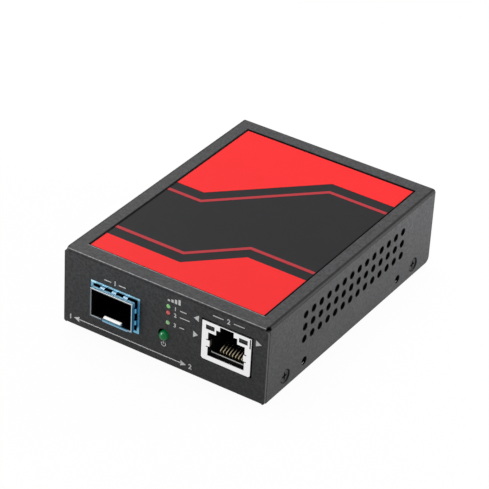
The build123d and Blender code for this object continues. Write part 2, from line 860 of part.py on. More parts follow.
# Socket shield: thin folded steel with the stepped opening, lamp windows, springs and slits
with BuildPart() as rj45_shield:
    with BuildSketch(jack_plane) as shield_face:
        Rectangle(jack_width, jack_height, align=STANDING)
        chamfer(shield_face.vertices().group_by(Axis.Y)[0], jack_corner_cut)
    extrude(amount=-jack_length)
    with BuildSketch(jack_plane.offset(-jack_foil)):
        with Locations((0, 0)):
            Rectangle(jack_width - 2 * jack_foil, jack_height - jack_foil, align=STANDING)
    extrude(amount=-(jack_length - 2 * jack_foil), mode=Mode.SUBTRACT)
    with BuildSketch(jack_plane):
        with BuildLine():
            Polyline(*mouth_outline(0, jack_height - jack_foil), close=True)
        make_face()
        with Locations(*window_spots):
            Rectangle(window_width, window_height)
        for side in (-1, 1):
            with Locations(*[(side * mouth_width / 2, z) for z in (side_tab_bottom, side_tab_top)]):
                Rectangle(2 * side_slit_reach, side_slit)
        with Locations((edge_slit_offset, edge_slit_bottom)):
            Rectangle(edge_slit_width, jack_height - jack_foil - edge_slit_bottom, align=STANDING)
    extrude(amount=-jack_foil, mode=Mode.SUBTRACT)

    # The side springs turn back from the face into the opening, between the slits
    tab_height = side_tab_top - side_tab_bottom - side_slit
    tab_mid = board_top + (side_tab_top + side_tab_bottom) / 2
    for side in (-1, 1):
        tab_edge = jack_x + side * mouth_width / 2
        tab_skin = tab_edge - side * (side_tab_bulge - jack_foil)
        tab_face = tab_edge - side * side_tab_bulge
        with BuildSketch(Plane.XY.offset(tab_mid)) as tab_plan:
            with BuildLine():
                Polyline(
                    (tab_edge, jack_front),
                    (tab_edge, jack_front + jack_foil),
                    (tab_skin, jack_front + jack_foil),
                    (tab_skin, jack_front + side_tab_reach),
                    (tab_face, jack_front + side_tab_reach),
                    (tab_face, jack_front),
                    close=True,
                )
            make_face()
            fillet(tab_plan.vertices().group_by(Axis.Y)[0].sort_by(Axis.X)[::-side][-1], jack_foil)
        extrude(amount=tab_height / 2, both=True)
save(rj45_shield, "rj45_shield")


# Lamp lenses in the socket's two windows
with BuildPart() as rj45_lenses:
    with BuildSketch(jack_plane.offset(-lens_setback)):
        with Locations(*window_spots):
            Rectangle(lens_pocket_width - 2 * lens_clearance, lens_pocket_height - 2 * lens_clearance)
    extrude(amount=-lens_depth)
save(rj45_lenses, "rj45_lenses")


# Contact wires: a run along the floor, a tight bend, and a free end that rises to the back
wire_rise = contact_reach * sin(radians(contact_slope))
wire_run = contact_reach * cos(radians(contact_slope))
wire_floor = board_top + mouth_bottom + contact_size
with BuildPart() as rj45_contacts:
    for index in range(contact_count):
        wire_x = jack_x + (index - (contact_count - 1) / 2) * contact_pitch
        with BuildSketch(Plane.YZ.offset(wire_x)):
            with BuildLine() as wire:
                Polyline(
                    (jack_front + contact_start + wire_run, wire_floor + contact_tip + wire_rise),
                    (jack_front + contact_start, wire_floor + contact_tip),
                    (jack_front + contact_start, wire_floor),
                    (jack_front + socket_depth - contact_size, wire_floor),
                )
                fillet(wire.vertices().sort_by(Axis.Y)[:2], contact_size)
            trace(line_width=contact_size)
        extrude(amount=contact_size / 2, both=True)
save(rj45_contacts, "rj45_contacts")


# Socket insert: a black block with the plug cavity, wire grooves and lamp pockets
insert_half = jack_width / 2 - jack_foil - insert_inset
insert_height = jack_height - jack_foil - insert_inset
with BuildPart() as rj45_insert:
    with BuildSketch(jack_plane.offset(-jack_foil - part_gap)):
        Rectangle(2 * insert_half, insert_height, align=STANDING)
    extrude(amount=-(jack_length - 2 * (jack_foil + part_gap)))
    with BuildSketch(jack_plane):
        with BuildLine():
            Polyline(*mouth_outline(-insert_step, insert_height - insert_roof), close=True)
        make_face()
    extrude(amount=-socket_depth, mode=Mode.SUBTRACT)

    # The floor starts behind the shield, and room is left for the side springs
    with BuildSketch(jack_plane):
        Rectangle(mouth_width, mouth_bottom + insert_step, align=STANDING)
        with Locations((0, (side_tab_bottom + side_tab_top) / 2)):
            Rectangle(mouth_width + 2 * insert_step, side_tab_top - side_tab_bottom)
    extrude(amount=-insert_setback, mode=Mode.SUBTRACT)
    with BuildSketch(jack_plane.offset(-insert_setback)):
        with Locations((0, (side_tab_bottom + side_tab_top) / 2)):
            Rectangle(mouth_width + 2 * insert_step, side_tab_top - side_tab_bottom)
    extrude(amount=-(side_tab_reach - insert_setback + part_gap), mode=Mode.SUBTRACT)

    # Grooves in the cavity floor hold the wires, pockets in the front hold the lenses
    with BuildSketch(Plane.XY.offset(board_top + mouth_bottom + insert_step)):
        for index in range(contact_count):
            wire_x = jack_x + (index - (contact_count - 1) / 2) * contact_pitch
            with Locations((wire_x, jack_front + contact_start - contact_size)):
                Rectangle(contact_size, socket_depth - contact_start + contact_size, align=STANDING)
    extrude(amount=-(insert_step + part_gap), mode=Mode.SUBTRACT)
    with BuildSketch(jack_plane):
        with Locations(*window_spots):
            Rectangle(lens_pocket_width, lens_pocket_height)
    extrude(amount=-(lens_setback + lens_depth), mode=Mode.SUBTRACT)
save(rj45_insert, "rj45_insert")


# Holder behind the column of small lamps: a foot on the board and an arm towards the panel
holder_front = inner_front + holder_gap
holder_bottom = lamp_zs[-1] - lamp_radius - holder_overlap
holder_top = lamp_zs[0] + lamp_radius + holder_overlap
with BuildPart() as lamp_holder:
    with BuildSketch(Plane.YZ.offset(lamp_offset)):
        with BuildLine():
            Polyline(
                (holder_front, holder_bottom),
                (holder_front, holder_top),
                (holder_front + holder_depth + holder_foot_depth, holder_top),
                (holder_front + holder_depth + holder_foot_depth, board_top),
                (holder_front + holder_depth, board_top),
                (holder_front + holder_depth, holder_bottom),
                close=True,
            )
        make_face()
    extrude(amount=holder_width / 2, both=True)
    with BuildSketch(front_plane):
        with Locations(*[(lamp_offset, z) for z in lamp_zs]):
            Circle(lamp_radius + thread_clearance)
    extrude(amount=-lamp_length, mode=Mode.SUBTRACT)
save(lamp_holder, "lamp_holder")


# Small lamps, each a short light rod with a rounded end
for lamp_name, lamp_z in zip(("lamp_upper", "lamp_middle", "lamp_lower"), lamp_zs):
    with BuildPart() as lamp_rod:
        with BuildSketch(front_plane.offset(lamp_proud)):
            with Locations((lamp_offset, lamp_z)):
                Circle(lamp_radius)
        extrude(amount=-(lamp_length + lamp_proud))
        fillet(lamp_rod.edges().filter_by(GeomType.CIRCLE).sort_by(Axis.Y)[0], lamp_radius / 2)
    save(lamp_rod, lamp_name)


# Power lamp: a domed body with a flange, and two leads bent down to the board
with BuildPart() as power_lamp:
    with BuildSketch(front_plane):
        with Locations((power_offset, power_z)):
            Circle(power_radius)
    extrude(amount=-power_body_length)
    with Locations((power_offset, front_y, power_z)):
        Sphere(power_radius)
    with BuildSketch(front_plane.offset(-(power_body_length - power_flange_length))):
        with Locations((power_offset, power_z)):
            Circle(power_flange_radius)
    extrude(amount=-power_flange_length)
save(power_lamp, "power_lamp")

with BuildPart() as power_lamp_leads:
    lead_start = front_y + power_body_length
    for side in (-1, 1):
        with BuildSketch(Plane.YZ.offset(power_offset + side * lead_pitch / 2)):
            with BuildLine():
                Polyline(
                    (lead_start, power_z),
                    (lead_start + lead_reach, power_z),
                    (lead_start + lead_reach, board_top),
                )
            trace(line_width=lead_size)
        extrude(amount=lead_size / 2, both=True)
    split(bisect_by=Plane.XY.offset(board_top), keep=Keep.TOP)
    split(bisect_by=Plane.XZ.offset(-lead_start), keep=Keep.BOTTOM)
save(power_lamp_leads, "power_lamp_leads")


def block(size, x, y, z=board_top):
    """A box standing on the board, or at another height, with its middle at x and y."""
    with Locations((x, y, z)):
        Box(*size, align=BASE)


# Line transformer block behind the socket
transformer_rear = jack_front + jack_length + transformer_gap + transformer_size[1]
with BuildPart() as line_transformer:
    block(transformer_size, jack_x - transformer_shift, transformer_rear - transformer_size[1] / 2)
    chamfer(line_transformer.edges().group_by(Axis.Z)[-1], part_chamfer)
save(line_transformer, "line_transformer")


# Main chip, thermal pad and finned heatsink stacked on the board
sink_left = slot_x + cage_width / 2 + sink_slot_gap
sink_right = case_width / 2 - sink_flank_gap
sink_front = transformer_rear + sink_front_gap
sink_rear = rear_y - sink_rear_room
sink_x = (sink_left + sink_right) / 2
sink_y = (sink_front + sink_rear) / 2
sink_width = sink_right - sink_left
sink_depth = sink_rear - sink_front
chip_width = sink_width - 2 * sink_overhang
chip_depth = sink_depth - 2 * sink_overhang
with BuildPart() as main_chip:
    block((chip_width, chip_depth, main_chip_height), sink_x, sink_y)
    chamfer(main_chip.edges().group_by(Axis.Z)[-1], part_chamfer)
save(main_chip, "main_chip")

pad_z = board_top + main_chip_height
with BuildPart() as thermal_pad:
    pad_size = (chip_width - 2 * pad_border, chip_depth - 2 * pad_border, pad_thickness)
    block(pad_size, sink_x, sink_y, pad_z)
save(thermal_pad, "thermal_pad")

sink_z = pad_z + pad_thickness
fin_pitch = (sink_width - sink_fin_thickness) / (sink_fins - 1)
with BuildPart() as heatsink:
    block((sink_width, sink_depth, sink_base), sink_x, sink_y, sink_z)
    with BuildSketch(Plane.XY.offset(sink_z + sink_base)):
        with Locations((sink_x, sink_y)):
            with GridLocations(fin_pitch, sink_depth, sink_fins, 1):
                Rectangle(sink_fin_thickness, sink_depth)
    extrude(amount=sink_height - sink_base)
save(heatsink, "heatsink")


# Second chip, behind the cage
with BuildPart() as second_chip:
    second_y = cage_front + cage_length + second_chip_gap + second_chip_size / 2
    second_size = (second_chip_size, second_chip_size, second_chip_height)
    block(second_size, slot_x + second_chip_shift, second_y)
    chamfer(second_chip.edges().group_by(Axis.Z)[-1], part_chamfer)
save(second_chip, "second_chip")


# Chokes: square blocks with cut corners
with BuildPart() as chokes:
    with BuildSketch(Plane.XY.offset(board_top)) as choke_plan:
        with Locations((choke_x, rear_y - choke_from_rear)):
            with GridLocations(choke_pitch, choke_pitch, 2, 1):
                Rectangle(choke_size, choke_size)
        chamfer(choke_plan.vertices(), choke_chamfer)
    extrude(amount=choke_height)
    chamfer(chokes.edges().group_by(Axis.Z)[-1], part_chamfer)
save(chokes, "chokes")


# Capacitors: upright cans with a crimp groove, between the cage and the flank
capacitor_spot = (-case_width / 2 + capacitor_flank_inset, front_y + capacitor_from_front)
with BuildPart() as capacitors:
    with BuildSketch(Plane.XY.offset(board_top)):
        with Locations(capacitor_spot):
            with GridLocations(capacitor_pitch, capacitor_pitch, 1, 2):
                Circle(capacitor_radius)
    extrude(amount=capacitor_height)
    fillet(capacitors.edges().group_by(Axis.Z)[-1], capacitor_groove)
    with BuildSketch(Plane.XY.offset(board_top + 3 * capacitor_groove)):
        with Locations(capacitor_spot):
            with GridLocations(capacitor_pitch, capacitor_pitch, 1, 2):
                Circle(capacitor_radius)
                Circle(capacitor_radius - capacitor_groove, mode=Mode.SUBTRACT)
    extrude(amount=capacitor_groove, mode=Mode.SUBTRACT)
save(capacitors, "capacitors")


# Small chips: clock crystal, memory and regulators, and rows of chip resistors
small_chip_x = case_width / 2 - small_chip_flank_inset
with BuildPart() as clock_crystal:
    block(clock_size, small_chip_x, front_y + clock_from_front)
    chamfer(clock_crystal.edges().group_by(Axis.Z)[-1], part_chamfer)
save(clock_crystal, "clock_crystal")

with BuildPart() as memory_chip:
    block(memory_size, small_chip_x, front_y + memory_from_front)
    chamfer(memory_chip.edges().group_by(Axis.Z)[-1], part_chamfer)
save(memory_chip, "memory_chip")

with BuildPart() as regulators:
    regulator_x = case_width / 2 - regulator_flank_inset
    with Locations((regulator_x, rear_y - regulator_from_rear, board_top)):
        with GridLocations(regulator_pitch, regulator_pitch, 2, 1):
            Box(*regulator_size, align=BASE)
    chamfer(regulators.edges().group_by(Axis.Z)[-1], part_chamfer)
save(regulators, "regulators")

with BuildPart() as small_parts:
    with Locations(((slot_x + jack_x) / 2, front_y + small_part_from_front, board_top)):
        with GridLocations(*small_part_pitch, small_part_columns, small_part_rows):
            Box(*small_part_size, align=BASE)
save(small_parts, "small_parts")


# Power inlet: a block on the board with a round nose in the back panel
inlet_face = inner_rear - inlet_seat_gap
inlet_inner_end = inlet_face - inlet_depth
with BuildPart() as inlet_body:
    with BuildSketch(Plane.XY.offset(board_top)):
        with Locations((inlet_x, inlet_face)):
            Rectangle(inlet_width, inlet_depth, align=(Align.CENTER, Align.MAX))
    extrude(amount=inlet_height)
    chamfer(inlet_body.edges().filter_by(Axis.Y).group_by(Axis.Z)[-1], 2 * inlet_pin_clearance)
    with BuildSketch(rear_plane):
        with Locations((-inlet_x, inlet_z)):
            Circle(inlet_nose_radius)
    extrude(amount=-(sheet + inlet_seat_gap + part_chamfer))
    with BuildSketch(rear_plane):
        with Locations((-inlet_x, inlet_z)):
            Circle(inlet_socket_radius)
    extrude(amount=-inlet_socket_depth, mode=Mode.SUBTRACT)
save(inlet_body, "inlet_body")

with BuildPart() as inlet_pin:
    with BuildSketch(rear_plane.offset(-inlet_socket_depth)):
        with Locations((-inlet_x, inlet_z)):
            Circle(inlet_pin_radius)
    extrude(amount=inlet_socket_depth - inlet_pin_clearance)
    fillet(inlet_pin.edges().sort_by(Axis.Y)[-1], inlet_pin_clearance)
save(inlet_pin, "inlet_pin")

with BuildPart() as inlet_tabs:
    end_y = inlet_inner_end - inlet_tab_wall / 2
    side_tab_x = inlet_x + (inlet_width + inlet_tab_wall) / 2
    block((inlet_tab_width, inlet_tab_wall, inlet_tab_height), inlet_x, end_y)
    block((inlet_tab_wall, inlet_tab_width, inlet_tab_height), side_tab_x, end_y + inlet_depth / 2)
save(inlet_tabs, "inlet_tabs")


# Setting switch: a block with four slots, and in each a lever with a wider shoe behind the face
way_xs = [dip_x + (index - (dip_ways - 1) / 2) * dip_pitch for index in range(dip_ways)]
lever_low = dip_z - lever_slot_height / 2 + lever_clearance
shoe_depth = lever_hold - lever_face_wall
with BuildPart() as dip_body:
    with BuildSketch(Plane.XY.offset(board_top)):
        with Locations((dip_x, dip_face)):
            Rectangle(dip_width, dip_depth, align=(Align.CENTER, Align.MAX))
    extrude(amount=dip_height)
    with BuildSketch(Plane.XZ.offset(-dip_face)):
        with Locations(*[(x, dip_z) for x in way_xs]):
            Rectangle(lever_slot_width, lever_slot_height)
    extrude(amount=lever_face_wall, mode=Mode.SUBTRACT)
    with BuildSketch(Plane.XZ.offset(-(dip_face - lever_face_wall))):
        with Locations(*[(x, dip_z) for x in way_xs]):
            Rectangle(lever_slot_width + 2 * shoe_lip, lever_slot_height + 2 * shoe_lip)
    extrude(amount=shoe_depth + 2 * lever_clearance, mode=Mode.SUBTRACT)
save(dip_body, "dip_body")

for index, way_x in enumerate(way_xs):
    with BuildPart() as dip_lever:
        shoe_front = dip_face - lever_face_wall - lever_clearance
        with Locations((way_x, shoe_front, lever_low)):
            Box(
                lever_width,
                lever_face_wall + lever_clearance + lever_proud,
                lever_height,
                align=(Align.CENTER, Align.MIN, Align.MIN),
            )
        with Locations((way_x, shoe_front, lever_low - shoe_lip)):
            Box(
                lever_width + 2 * shoe_lip,
                shoe_depth,
                lever_height + 2 * shoe_lip,
                align=(Align.CENTER, Align.MAX, Align.MIN),
            )
        chamfer(dip_lever.edges().filter_by(Axis.X).group_by(Axis.Y)[-1], part_chamfer)
    save(dip_lever, f"dip_lever_{index + 1}")
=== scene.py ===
# %% [markdown]
# # A small metal network converter, dressed for its portrait
# The solid model of the box is already finished: two folded sheets, a circuit board, a module slot
# and a copper socket. This notebook loads it as a fixed frame and adds what solids can't say:
# powder coat with its fine orange-peel skin, plated sheet with a grain, printed marks, and threads
# that glint inside the tapped holes. All lengths are in metres; `MM` turns drawing sizes into them.

# %% Load the frame
import json
import bpy
import numpy as np
from mathutils import Matrix, Vector


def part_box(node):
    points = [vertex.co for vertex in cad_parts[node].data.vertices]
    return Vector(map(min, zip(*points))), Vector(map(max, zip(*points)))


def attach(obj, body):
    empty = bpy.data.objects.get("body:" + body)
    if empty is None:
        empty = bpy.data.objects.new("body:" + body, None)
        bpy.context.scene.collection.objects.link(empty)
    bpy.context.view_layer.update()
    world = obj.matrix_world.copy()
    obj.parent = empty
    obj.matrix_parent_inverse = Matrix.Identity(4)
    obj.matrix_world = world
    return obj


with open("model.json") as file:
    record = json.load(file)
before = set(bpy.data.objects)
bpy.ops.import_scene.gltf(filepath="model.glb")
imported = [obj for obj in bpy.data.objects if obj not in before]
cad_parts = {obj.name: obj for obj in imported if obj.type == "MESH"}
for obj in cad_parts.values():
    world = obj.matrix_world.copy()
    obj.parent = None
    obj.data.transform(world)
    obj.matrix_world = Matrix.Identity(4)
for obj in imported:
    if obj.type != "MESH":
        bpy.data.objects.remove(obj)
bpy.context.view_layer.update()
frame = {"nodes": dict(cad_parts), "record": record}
MM = 0.001
print("solids loaded:", len(frame["nodes"]))

# %% [markdown]
# ## Arithmetic on surfaces
# A procedural finish is a formula that is worked out at each point of a surface. Blender stores it
# as nodes joined by links, which is hard to read in code. A small class around a socket lets the
# formula be written as plain arithmetic instead: `0.4 + 0.1 * grain` adds the two Math nodes.

# %% A socket that does arithmetic
def tone(colour, factor=1.0):
    """A colour with full alpha, each part times the factor and at most 1."""
    return (*(min(1.0, part * factor) for part in colour), 1.0)


BLACK = tone((0.0, 0.0, 0.0))


class Signal:
    """One value at each point of a surface. Arithmetic on it adds Math nodes to its finish."""

    def __init__(self, finish, socket):
        self.finish = finish
        self.socket = socket

    def math(self, operation, *values):
        inputs = dict(enumerate(values))
        return self.finish.node("ShaderNodeMath", {"operation": operation}, inputs)

    def apply(self, operation):
        """An operation on this value alone, such as ABSOLUTE, SQRT or FRACT."""
        return self.math(operation, self)

    def larger(self, other):
        """The larger of two values: where either mask is 1, the result is 1."""
        return self.math("MAXIMUM", self, other)

    def __add__(self, other):
        return self.math("ADD", self, other)

    def __radd__(self, other):
        return self.math("ADD", other, self)

    def __sub__(self, other):
        return self.math("SUBTRACT", self, other)

    def __rsub__(self, other):
        return self.math("SUBTRACT", other, self)

    def __mul__(self, other):
        return self.math("MULTIPLY", self, other)

    def __rmul__(self, other):
        return self.math("MULTIPLY", other, self)

    def ramp(self, low, high, rise="SMOOTHSTEP"):
        """0 below low, 1 above high, and a smooth or LINEAR rise between them."""
        limits = {"Value": self, "From Min": low, "From Max": high}
        return self.finish.node("ShaderNodeMapRange", {"interpolation_type": rise}, limits)

    def fall(self, low, high, rise="SMOOTHSTEP"):
        """1 below low, 0 above high: the ramp turned over."""
        return 1 - self.ramp(low, high, rise)

    def within(self, low, high, soft=0.05):
        """1 between low and high, fading out over soft on both sides."""
        return self.ramp(low - soft, low + soft) - self.ramp(high - soft, high + soft)


class Finish:
    """A material with one Principled shader, read in Object coordinates."""

    def __init__(self, name, **constants):
        self.material = bpy.data.materials.new(name)
        self.material.use_nodes = True
        self.tree = self.material.node_tree
        self.tree.nodes.clear()
        output = self.tree.nodes.new("ShaderNodeOutputMaterial")
        self.shader = self.tree.nodes.new("ShaderNodeBsdfPrincipled")
        self.tree.links.new(self.shader.outputs["BSDF"], output.inputs["Surface"])
        self.place = self.node("ShaderNodeTexCoord", {}, {}, "Object")
        for socket, value in constants.items():
            self.shader.inputs[socket.replace("_", " ")].default_value = value

    def node(self, kind, settings, values, output=0):
        """Add a node, set its options, then give each named or numbered input a value or a link."""
        made = self.tree.nodes.new(kind)
        for option, value in settings.items():
            setattr(made, option, value)
        for socket, value in values.items():
            if isinstance(value, Signal):
                self.tree.links.new(value.socket, made.inputs[socket])
            else:
                made.inputs[socket].default_value = value
        return Signal(self, made.outputs[output])

    def feed(self, socket, signal):
        self.tree.links.new(signal.socket, self.shader.inputs[socket])

    def noise(self, grain_mm, detail=2.0, stretch=(1, 1, 1)):
        """Soft random spots of about the given size; stretch below 1 draws them out along an axis."""
        spots = self.node("ShaderNodeMapping", {}, {"Vector": self.place, "Scale": stretch})
        values = {"Vector": spots, "Scale": 1 / (grain_mm * MM), "Detail": detail}
        return self.node("ShaderNodeTexNoise", {}, values)

    def axis(self, letter):
        """The distance along X, Y or Z in millimetres."""
        return self.node("ShaderNodeSeparateXYZ", {}, {"Vector": self.place}, letter) * (1 / MM)

    def mix(self, amount, first, second):
        """The first colour where amount is 0, the second where it is 1."""
        values = {0: amount, 6: first, 7: second}
        return self.node("ShaderNodeMix", {"data_type": "RGBA"}, values, 2)

    def emboss(self, height, depth_mm, strength=1.0):
        """Tilt the shading as if the surface rose by depth_mm where height is 1."""
        values = {"Height": height, "Distance": depth_mm * MM, "Strength": strength}
        self.feed("Normal", self.node("ShaderNodeBump", {}, values))

    def glow(self, amount, colour, strength, elsewhere=BLACK):
        """Light of its own: the colour where amount is 1, and the other colour where it is 0."""
        self.feed("Emission Color", self.mix(amount, elsewhere, colour))
        self.shader.inputs["Emission Strength"].default_value = strength


def distance(across, up):
    """How far a point lies from where both values are 0: the root of the sum of their squares."""
    return (across * across + up * up).apply("SQRT")


finishes = {}
print("tools for finishes: Signal, Finish, distance")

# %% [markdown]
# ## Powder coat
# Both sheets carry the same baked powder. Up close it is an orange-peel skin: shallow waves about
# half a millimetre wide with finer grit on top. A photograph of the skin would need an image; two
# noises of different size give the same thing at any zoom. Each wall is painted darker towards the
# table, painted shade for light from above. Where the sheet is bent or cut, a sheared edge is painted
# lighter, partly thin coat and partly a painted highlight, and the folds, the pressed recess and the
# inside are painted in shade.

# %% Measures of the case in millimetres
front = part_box("base_tray")[0].y / MM
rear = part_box("base_tray")[1].y / MM
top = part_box("top_cover")[1].z / MM
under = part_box("base_tray")[0].z / MM
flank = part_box("top_cover")[1].x / MM
label_low, label_high = (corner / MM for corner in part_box("label_film"))
measures = (front, rear, under, top, flank)
print("case front, rear, underside, top, side in mm:", *(round(value, 2) for value in measures))

VENT_PITCH = 4.21
VENT_COLUMNS = 14
VENT_ROWS = 3
VENT_INSET = 20.1  # from the front to the first column
VENT_DROP = 5.65  # from the roof to the first row
BRACKET_INSETS = (20.9, 74.0)  # from the front to each bracket hole
BRACKET_RISE = 3.9  # from the underside
BRACKET_RADIUS = 1.25


# %% Powder coat
def powder_coat(name, colour):
    """Two noises make the skin: the coarse one is the orange peel, the fine one the grit."""
    coat = Finish(name, Specular_IOR_Level=0.16)
    peel = coat.noise(0.8, 1.0)
    grit = coat.noise(0.3, 1.0)
    cloud = coat.noise(14.0, 3.0)
    speck = (0.6 * peel + 0.4 * grit).ramp(0.32, 0.68, "LINEAR")
    shade = coat.mix(0.75 * speck + 0.25 * cloud, tone(colour, 0.45), tone(colour, 1.55))
    # Painted shade: each wall darkens towards the table, for light that falls from above
    low = coat.axis("Z").fall(under + 2, top - 2, "LINEAR")
    shade = coat.mix(0.24 * low, shade, BLACK)
    coat.feed("Roughness", 0.52 + 0.16 * peel)
    coat.emboss(0.7 * peel + 0.3 * grit, 0.02, 0.5)
    finishes[name] = coat
    return coat, shade


cover, shade = powder_coat("cover_paint", (0.064, 0.0645, 0.0668))
x, y, z = (cover.axis(letter) for letter in "XYZ")
across = x.apply("ABSOLUTE")

# Painted shade on the bend between roof and flank, the inside of the sheet and the recess wall
on_bend = across.ramp(flank - 1.15, flank - 0.85) * z.ramp(top - 1.1, top - 0.92)
shade = cover.mix(0.86 * on_bend, shade, tone((0.008, 0.008, 0.009)))
in_hole = across.fall(flank - 0.05, flank - 0.015) * z.fall(top - 1.05, top - 0.95)
in_hole = in_hole * z.ramp(under + 0.12, under + 0.2)
roof_inside = across.fall(flank - 1.0, flank - 0.9) * z.fall(top - 0.78, top - 0.7)
inside = in_hole.larger(roof_inside) * y.within(front + 4, rear - 0.05)
shade = cover.mix(0.99 * inside, shade, tone((0.0005, 0.0005, 0.0005)))
in_recess = z.fall(top - 0.1, top - 0.03) * z.ramp(top - 0.6, top - 0.55)
in_recess = in_recess * across.fall(flank - 4.3, flank - 4.2) * y.within(front + 3, rear - 3)
shade = cover.mix(0.9 * in_recess, shade, tone((0.002, 0.002, 0.002)))
print("cover: bend, inside and recess shaded")

# %% [markdown]
# ## Painted shade round the holes, and edges with wear and a painted highlight
# A hair's breadth round each vent is painted in shade, standing in for the rim a punch rolls inward.
# The vents stand on a square grid, so the distance to the nearest one repeats with the pitch. The
# two bracket holes have the same painted rim. Where the sheet was sheared, at both ends of the roof and
# along the front of the recess, the coat is thin and nearly bare in spots, and carries a painted
# highlight.

# %% Rims and edges of the cover
# Painted shade: a dark ring round each vent and each bracket hole
along, upright = y - (front + VENT_INSET), (top - VENT_DROP) - z
steps = [
    (value * (1 / VENT_PITCH) + 0.5).apply("FRACT") * VENT_PITCH - VENT_PITCH / 2
    for value in (along, upright)
]
reach = 1.6
rims = distance(*steps).fall(1.32, 1.38) * along.within(-reach, (VENT_COLUMNS - 1) * VENT_PITCH + reach)
rims = rims * upright.within(-reach, (VENT_ROWS - 1) * VENT_PITCH + reach)
for inset in BRACKET_INSETS:
    rims = rims.larger(distance(y - (front + inset), z - (under + BRACKET_RISE)).fall(1.42, 1.48))
on_flank = across.ramp(flank - 0.1, flank - 0.05)
shade = cover.mix(0.95 * (rims * on_flank), shade, tone((0.001, 0.001, 0.001)))

# Thin rubbed coat and a painted highlight in one lighter tone, along the roof's ends and the recess
# front
chipped = 0.55 + 0.45 * cover.noise(0.7, 3.0).ramp(0.4, 0.6)
at_end = 1 - y.within(front + 0.17, rear - 0.17, 0.04)
on_lip = y.within(label_low.y - 0.80, label_low.y - 0.57, 0.03) * across.fall(flank - 4.7, flank - 4.5)
wear_and_highlight = at_end * z.ramp(top - 0.22, top - 0.14) + 0.6 * on_lip * z.ramp(top - 0.3, top - 0.2)
cover.feed("Base Color", cover.mix(wear_and_highlight * chipped, shade, tone((0.58, 0.58, 0.59))))
print("rims on each flank:", VENT_COLUMNS * VENT_ROWS, "vent places,", len(BRACKET_INSETS), "tapped")

# %% Paint of the tray: the outer sides of its ears are painted lighter, its inside is painted in shade
tray, shade = powder_coat("tray_paint", (0.0605, 0.0612, 0.0636))
x, y, z = (tray.axis(letter) for letter in "XYZ")
# Painted light: the ears' outer sides take a lighter tone, lit like the flank
ear_side = x.apply("ABSOLUTE").ramp(flank - 0.06, flank - 0.01)
shade = tray.mix(ear_side, shade, tone((0.07, 0.071, 0.073)))
# Painted shade on the inside of the tray
hidden = y.ramp(front + 0.1, front + 0.3) * y.fall(rear - 0.3, rear - 0.1)
hidden = hidden * z.ramp(under + 0.3, under + 0.5) * (1 - ear_side)
tray.feed("Base Color", tray.mix(0.85 * hidden, shade, tone((0.004, 0.004, 0.004))))
print("painted finishes:", len(finishes))

# %% [markdown]
# ## Plated sheet
# The socket's shield is nickel on thin steel, rolled before it was folded, so it has a faint grain
# in one direction. One function makes all bare metals: a stretched noise for the rolling grain, a
# broad one for the way a plated batch varies, and a colour. Metal deep in an opening sees only the
# dark inside of the box, so each sheet that reaches inward is painted black behind the panel: painted
# shade.

# %% Plated sheet
def plated_sheet(
    name, colour, roughness, grain=(0.05, 1.0, 1.0), contrast=0.12, dark_from=None, fade=1.0
):
    """Colour times 1 minus and plus contrast along a drawn-out noise, black past dark_from on Y."""
    sheet = Finish(name, Metallic=1.0)
    streak = sheet.noise(0.12, 3.0, grain)
    patch = sheet.noise(2.2, 2.0)
    level = 0.6 * streak + 0.4 * patch
    shade = sheet.mix(level, tone(colour, 1 - contrast), tone(colour, 1 + contrast))
    # Painted shade: black past dark_from, deep in the opening
    if dark_from is not None:
        deep = sheet.axis("Y").ramp(dark_from, dark_from + fade)
        shade = sheet.mix(0.985 * deep, shade, BLACK)
    sheet.feed("Base Color", shade)
    sheet.feed("Roughness", roughness + 0.14 * patch)
    sheet.emboss(streak, 0.004, 0.4)
    finishes[name] = sheet
    return sheet, shade


jack_low, jack_high = (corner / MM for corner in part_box("rj45_shield"))
jack_face = jack_low.y
plated_sheet("shield_nickel", (0.84, 0.84, 0.84), 0.3, contrast=0.06, dark_from=jack_face + 0.5)
plated_sheet("zinc_steel", (0.62, 0.63, 0.65), 0.34)
plated_sheet("can_aluminium", (0.74, 0.75, 0.76), 0.3)
plated_sheet("plated_brass", (0.70, 0.56, 0.30), 0.34)
plated_sheet("sink_anodised", (0.03, 0.031, 0.034), 0.42, (1.0, 0.05, 1.0), 0.25)
print("plain and plated finishes:", len(finishes))

# %% [markdown]
# ## Contacts of the socket
# Each of the eight wires has a painted highlight along the middle of its rising end only, as a narrow
# line. The wires stand at an even pitch, so the distance to the nearest middle is the fractional part
# of the place divided by the pitch, less a half. A little glow paints in the light that comes in at the
# mouth.

# %% Gold with a painted highlight along each wire
CONTACT_PITCH = 1.02
# Painted shade: the gold turns black deeper than 5.5 mm behind the mouth
gold, _ = plated_sheet("contact_gold", (1.0, 0.82, 0.55), 0.25, dark_from=jack_face + 5.5, fade=1.2)
middle = (jack_low.x + jack_high.x) / 2
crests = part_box("rj45_contacts")[1].z / MM - 1.5
# Painted highlight: a narrow line along the middle of each wire's rising end, with a glow
lane = ((gold.axis("X") - middle) * (1 / CONTACT_PITCH)).apply("FRACT") - 0.5
tips = lane.apply("ABSOLUTE").fall(0.05, 0.11) * gold.axis("Z").ramp(crests - 0.15, crests + 0.1)
tips = tips * gold.axis("Y").fall(jack_face + 3.3, jack_face + 5.2)
gold.glow(tips, tone((0.80, 0.68, 0.48)), 0.7)
print("lit above", round(crests, 2), "mm")
